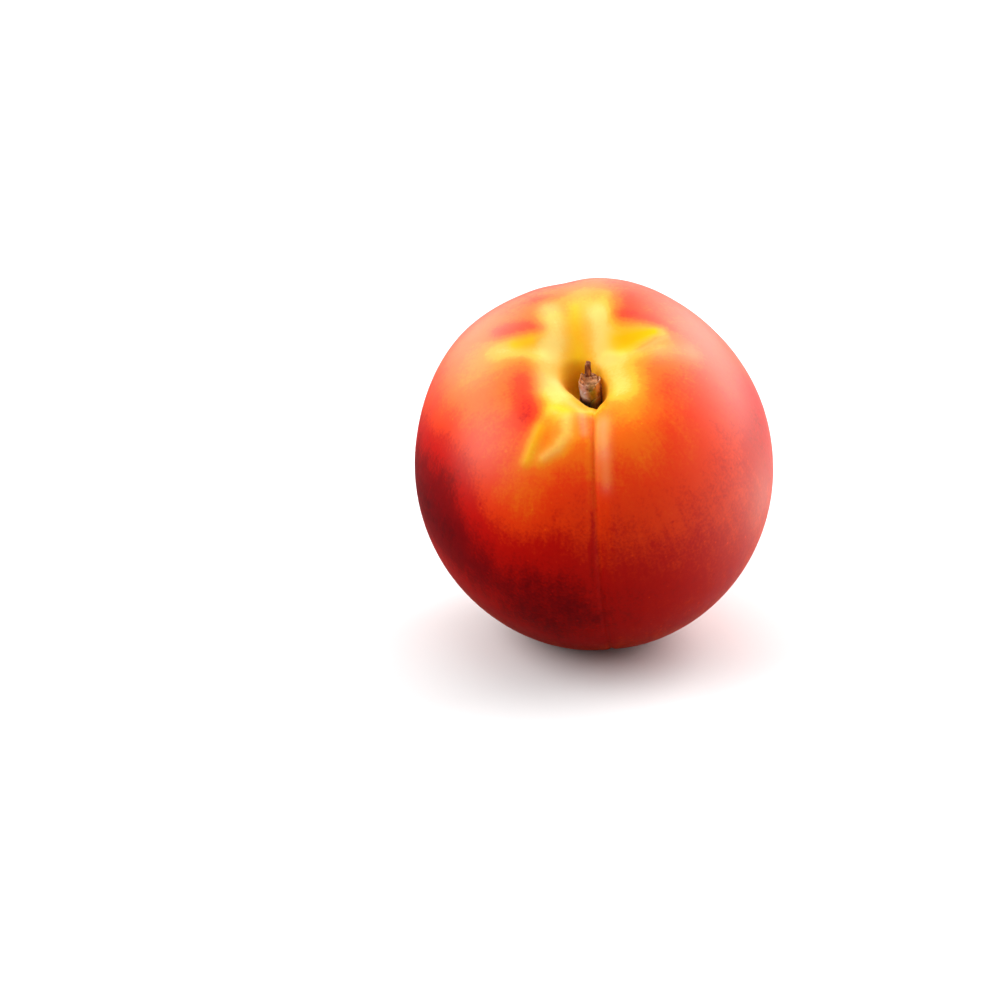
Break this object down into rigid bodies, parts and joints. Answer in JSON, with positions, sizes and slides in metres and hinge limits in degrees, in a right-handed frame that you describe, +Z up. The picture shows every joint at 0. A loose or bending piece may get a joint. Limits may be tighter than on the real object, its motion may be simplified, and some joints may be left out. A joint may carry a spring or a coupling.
{
  "type": "nectarine",
  "caption": "Whole ripe nectarine: a smooth round fruit with a suture down one side, a funnel-shaped stem cavity and the dried stub of its stem, lying on a small flat spot.",
  "frame": {"origin": "On the surface that the fruit rests on, under the middle of the fruit's box.", "axes": "+Z is up, away from the resting spot. +X is towards the right cheek and -Y towards the suture and the stem end, which leans forward."},
  "size_m": [0.068, 0.071, 0.0668],
  "materials": {
    "skin": "satin",
    "stem_bark": "matte"
  },
  "bodies": {
    "root": {"fruit": "skin", "stem": "stem_bark"}
  },
  "joints": []
}
